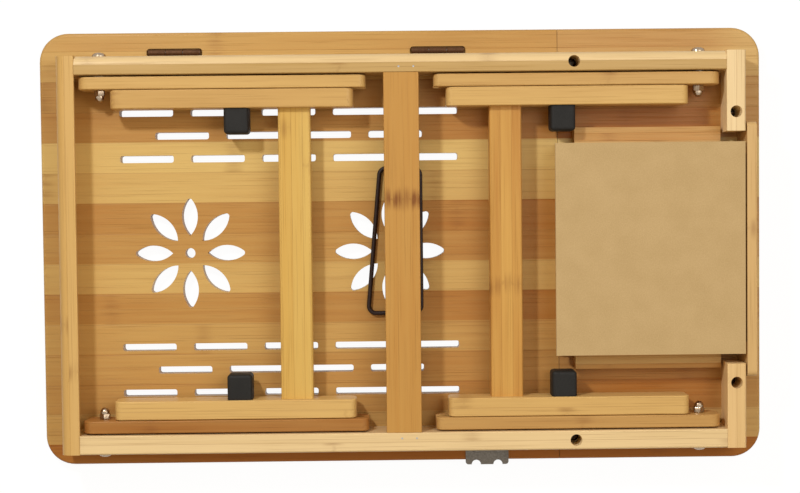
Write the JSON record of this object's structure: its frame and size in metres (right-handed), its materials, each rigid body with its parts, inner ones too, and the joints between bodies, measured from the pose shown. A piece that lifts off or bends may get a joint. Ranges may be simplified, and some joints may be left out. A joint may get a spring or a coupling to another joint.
{
  "type": "folding laptop table",
  "caption": "Folding bamboo laptop table seen from below: slotted tilting top with a prop, folding telescopic legs on pivots, crossbars, lock knobs and a shallow side drawer.",
  "frame": {"origin": "centre of the table top's outer face, which lies face down on z = 0", "axes": "+X along the top towards the drawer, +Y to the hinged long side, +Z out of the underside"},
  "size_m": [0.5, 0.303, 0.037],
  "materials": {
    "top_bamboo": "satin lacquer over laminated bamboo strips",
    "rail_bamboo": "satin lacquer on pale bamboo",
    "leg_bamboo": "satin lacquer on tan bamboo",
    "cross_bamboo": "satin lacquer on golden bamboo",
    "drawer_bamboo": "satin lacquer on bamboo",
    "hardboard": "matt pressed board",
    "black_plastic": "satin moulded",
    "bronze": "darkened, worn",
    "dark_wire": "dark brown coat",
    "tab_metal": "dull plating",
    "nickel": "polished plating",
    "steel": "zinc plated"
  },
  "bodies": {
    "panel": {"tilt_panel": "top_bamboo", "hinge_panel_leaves": "bronze", "hinge_panel_screws": "bronze", "lift_tab": "tab_metal", "lift_tab_screws": "steel", "bail_clips": "tab_metal", "bail_clip_screws": "steel"},
    "frame": {"rail_hinge_side": "rail_bamboo", "rail_free_side": "rail_bamboo", "end_rail": "rail_bamboo", "end_block_hinge_side": "rail_bamboo", "end_block_free_side": "rail_bamboo", "centre_rail": "rail_bamboo", "fixed_panel": "top_bamboo", "runner_hinge_side": "rail_bamboo", "runner_free_side": "rail_bamboo", "hinge_frame_leaves": "bronze", "hinge_frame_screws": "bronze", "hinge_pins": "steel", "panel_screws": "steel", "centre_brads": "steel", "frame_dowels": "rail_bamboo", "pivot_bolts": "nickel", "pivot_washers": "nickel", "pivot_nuts": "nickel"},
    "prop": {"prop_bail": "dark_wire"},
    "drawer": {"drawer_front": "drawer_bamboo", "drawer_side_hinge_side": "drawer_bamboo", "drawer_side_free_side": "drawer_bamboo", "drawer_back": "drawer_bamboo", "drawer_bottom": "hardboard"},
    "left_upper": {"upper_leg_left_hinge_side": "leg_bamboo", "upper_leg_left_free_side": "leg_bamboo"},
    "left_lower": {"crossbar_left": "cross_bamboo", "lower_leg_left_hinge_side": "leg_bamboo", "lower_leg_left_free_side": "leg_bamboo", "lock_spring_left_hinge_side": "steel", "lock_spring_left_free_side": "steel"},
    "lock_left_hinge": {"lock_knob_left_hinge_side": "black_plastic", "lock_pin_left_hinge_side": "steel"},
    "lock_left_free": {"lock_knob_left_free_side": "black_plastic", "lock_pin_left_free_side": "steel"},
    "right_upper": {"upper_leg_right_hinge_side": "leg_bamboo", "upper_leg_right_free_side": "leg_bamboo"},
    "right_lower": {"crossbar_right": "cross_bamboo", "lower_leg_right_hinge_side": "leg_bamboo", "lower_leg_right_free_side": "leg_bamboo", "lock_spring_right_hinge_side": "steel", "lock_spring_right_free_side": "steel"},
    "lock_right_hinge": {"lock_knob_right_hinge_side": "black_plastic", "lock_pin_right_hinge_side": "steel"},
    "lock_right_free": {"lock_knob_right_free_side": "black_plastic", "lock_pin_right_free_side": "steel"}
  },
  "joints": [
    {"name": "panel_tilt", "type": "hinge", "parent": "panel", "child": "frame", "pos_m": [0, 0.136, 0.009], "axis": [-1, 0, 0], "range_deg": [0, 35]},
    {"name": "prop_swing", "type": "hinge", "parent": "panel", "child": "prop", "pos_m": [0, 0.0547, 0.011], "axis": [-1, 0, 0], "range_deg": [0, 65.5]},
    {"name": "drawer_slide", "type": "slide", "parent": "frame", "child": "drawer", "axis": [1, 0, 0], "range_m": [0, 0.085]},
    {"name": "left_fold", "type": "hinge", "parent": "frame", "child": "left_upper", "pos_m": [-0.2055, 0, 0.0237], "axis": [0, -1, 0], "range_deg": [0, 90]},
    {"name": "left_extend", "type": "slide", "parent": "left_upper", "child": "left_lower", "axis": [1, 0, 0], "range_m": [0, 0.08]},
    {"name": "lock_left_hinge_pull", "type": "slide", "parent": "left_lower", "child": "lock_left_hinge", "axis": [0, -1, 0], "range_m": [0, 0.004], "stiffness_N_per_m": 400, "deforming": ["lock_spring_left_hinge_side"]},
    {"name": "lock_left_free_pull", "type": "slide", "parent": "left_lower", "child": "lock_left_free", "axis": [0, 1, 0], "range_m": [0, 0.004], "stiffness_N_per_m": 400, "deforming": ["lock_spring_left_free_side"]},
    {"name": "right_fold", "type": "hinge", "parent": "frame", "child": "right_upper", "pos_m": [0.2035, 0, 0.0237], "axis": [0, 1, 0], "range_deg": [0, 90]},
    {"name": "right_extend", "type": "slide", "parent": "right_upper", "child": "right_lower", "axis": [-1, 0, 0], "range_m": [0, 0.08]},
    {"name": "lock_right_hinge_pull", "type": "slide", "parent": "right_lower", "child": "lock_right_hinge", "axis": [0, -1, 0], "range_m": [0, 0.004], "stiffness_N_per_m": 400, "deforming": ["lock_spring_right_hinge_side"]},
    {"name": "lock_right_free_pull", "type": "slide", "parent": "right_lower", "child": "lock_right_free", "axis": [0, 1, 0], "range_m": [0, 0.004], "stiffness_N_per_m": 400, "deforming": ["lock_spring_right_free_side"]}
  ],
  "couplings": [
    {"joint": "prop_swing", "follows": "panel_tilt", "ratio": 1.87},
    {"joint": "left_extend", "follows": "left_fold", "m_per_rad": 0.0509},
    {"joint": "right_extend", "follows": "right_fold", "m_per_rad": 0.0509}
  ]
}
